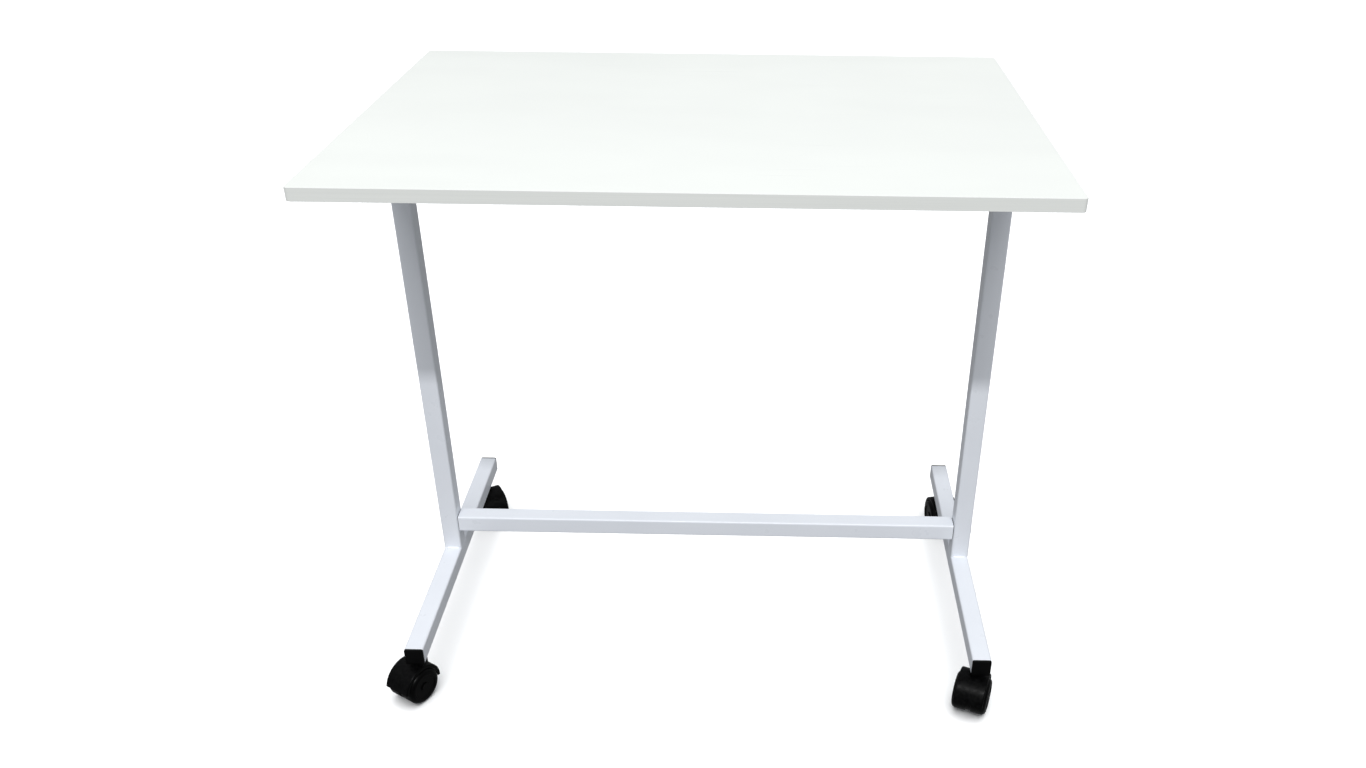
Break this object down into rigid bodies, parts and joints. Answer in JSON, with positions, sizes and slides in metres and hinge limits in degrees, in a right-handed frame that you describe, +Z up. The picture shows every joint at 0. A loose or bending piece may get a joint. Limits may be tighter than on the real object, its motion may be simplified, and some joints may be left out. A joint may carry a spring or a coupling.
{
  "type": "overbed table",
  "caption": "Rolling overbed table: a flat white rectangular top on a square-tube frame with a low crossbar, on hooded twin-wheel casters.",
  "frame": {"origin": "on the floor, under the middle of the tabletop", "axes": "+X along the long side of the top to the user's right, +Y to the back, +Z up"},
  "size_m": [0.8202, 0.56, 0.745],
  "materials": {
    "board_core": "raw particle board",
    "white_laminate": "fine satin texture",
    "edge_band": "satin",
    "white_powder_coat": "satin powder coat",
    "white_plastic": "satin moulded",
    "cap_plastic": "satin moulded",
    "caster_nylon": "semi-gloss moulded nylon",
    "zinc_steel": "bright zinc plated",
    "black_steel": "black oxide"
  },
  "bodies": {
    "frame": {"tabletop_core": "board_core", "tabletop_top_sheet": "white_laminate", "tabletop_backing_sheet": "white_laminate", "tabletop_edge_band": "edge_band", "left_post_plug": "white_plastic", "right_post_plug": "white_plastic", "crossbar": "white_powder_coat", "left_bearer": "white_powder_coat", "right_bearer": "white_powder_coat", "left_post": "white_powder_coat", "right_post": "white_powder_coat", "left_foot": "white_powder_coat", "right_foot": "white_powder_coat", "tabletop_screws": "zinc_steel", "crossbar_bolts": "zinc_steel", "crossbar_washers": "zinc_steel", "crossbar_nut_plates": "black_steel", "left_front_bearer_cap": "cap_plastic", "left_front_foot_cap": "cap_plastic", "left_front_caster_bush": "zinc_steel", "left_front_caster_stem": "zinc_steel", "left_front_caster_ring": "zinc_steel", "left_rear_bearer_cap": "cap_plastic", "left_rear_foot_cap": "cap_plastic", "left_rear_caster_bush": "zinc_steel", "left_rear_caster_stem": "zinc_steel", "left_rear_caster_ring": "zinc_steel", "right_front_bearer_cap": "cap_plastic", "right_front_foot_cap": "cap_plastic", "right_front_caster_bush": "zinc_steel", "right_front_caster_stem": "zinc_steel", "right_front_caster_ring": "zinc_steel", "right_rear_bearer_cap": "cap_plastic", "right_rear_foot_cap": "cap_plastic", "right_rear_caster_bush": "zinc_steel", "right_rear_caster_stem": "zinc_steel", "right_rear_caster_ring": "zinc_steel"},
    "left_front_swivel": {"left_front_caster_hood": "caster_nylon", "left_front_caster_axle": "zinc_steel"},
    "left_front_wheel_a": {"left_front_wheel_a": "caster_nylon"},
    "left_front_wheel_b": {"left_front_wheel_b": "caster_nylon"},
    "left_rear_swivel": {"left_rear_caster_hood": "caster_nylon", "left_rear_caster_axle": "zinc_steel"},
    "left_rear_wheel_a": {"left_rear_wheel_a": "caster_nylon"},
    "left_rear_wheel_b": {"left_rear_wheel_b": "caster_nylon"},
    "right_front_swivel": {"right_front_caster_hood": "caster_nylon", "right_front_caster_axle": "zinc_steel"},
    "right_front_wheel_a": {"right_front_wheel_a": "caster_nylon"},
    "right_front_wheel_b": {"right_front_wheel_b": "caster_nylon"},
    "right_rear_swivel": {"right_rear_caster_hood": "caster_nylon", "right_rear_caster_axle": "zinc_steel"},
    "right_rear_wheel_a": {"right_rear_wheel_a": "caster_nylon"},
    "right_rear_wheel_b": {"right_rear_wheel_b": "caster_nylon"}
  },
  "joints": [
    {"name": "left_front_swivel", "type": "hinge", "parent": "frame", "child": "left_front_swivel", "pos_m": [-0.375, -0.2065, 0.0516], "axis": [0, 0, 1], "continuous": true},
    {"name": "left_front_roll_a", "type": "hinge", "parent": "left_front_swivel", "child": "left_front_wheel_a", "pos_m": [-0.3845, -0.22295, 0.025], "axis": [0.866, -0.5, 0], "continuous": true},
    {"name": "left_front_roll_b", "type": "hinge", "parent": "left_front_swivel", "child": "left_front_wheel_b", "pos_m": [-0.3845, -0.22295, 0.025], "axis": [0.866, -0.5, 0], "continuous": true},
    {"name": "left_rear_swivel", "type": "hinge", "parent": "frame", "child": "left_rear_swivel", "pos_m": [-0.375, 0.1945, 0.0516], "axis": [0, 0, 1], "continuous": true},
    {"name": "left_rear_roll_a", "type": "hinge", "parent": "left_rear_swivel", "child": "left_rear_wheel_a", "pos_m": [-0.3655, 0.17805, 0.025], "axis": [0.866, 0.5, 0], "continuous": true},
    {"name": "left_rear_roll_b", "type": "hinge", "parent": "left_rear_swivel", "child": "left_rear_wheel_b", "pos_m": [-0.3655, 0.17805, 0.025], "axis": [0.866, 0.5, 0], "continuous": true},
    {"name": "right_front_swivel", "type": "hinge", "parent": "frame", "child": "right_front_swivel", "pos_m": [0.375, -0.2065, 0.0516], "axis": [0, 0, 1], "continuous": true},
    {"name": "right_front_roll_a", "type": "hinge", "parent": "right_front_swivel", "child": "right_front_wheel_a", "pos_m": [0.36819, -0.22424, 0.025], "axis": [0.9336, -0.3584, 0], "continuous": true},
    {"name": "right_front_roll_b", "type": "hinge", "parent": "right_front_swivel", "child": "right_front_wheel_b", "pos_m": [0.36819, -0.22424, 0.025], "axis": [0.9336, -0.3584, 0], "continuous": true},
    {"name": "right_rear_swivel", "type": "hinge", "parent": "frame", "child": "right_rear_swivel", "pos_m": [0.375, 0.1945, 0.0516], "axis": [0, 0, 1], "continuous": true},
    {"name": "right_rear_roll_a", "type": "hinge", "parent": "right_rear_swivel", "child": "right_rear_wheel_a", "pos_m": [0.3783, 0.17579, 0.025], "axis": [0.9848, 0.1736, 0], "continuous": true},
    {"name": "right_rear_roll_b", "type": "hinge", "parent": "right_rear_swivel", "child": "right_rear_wheel_b", "pos_m": [0.3783, 0.17579, 0.025], "axis": [0.9848, 0.1736, 0], "continuous": true}
  ]
}
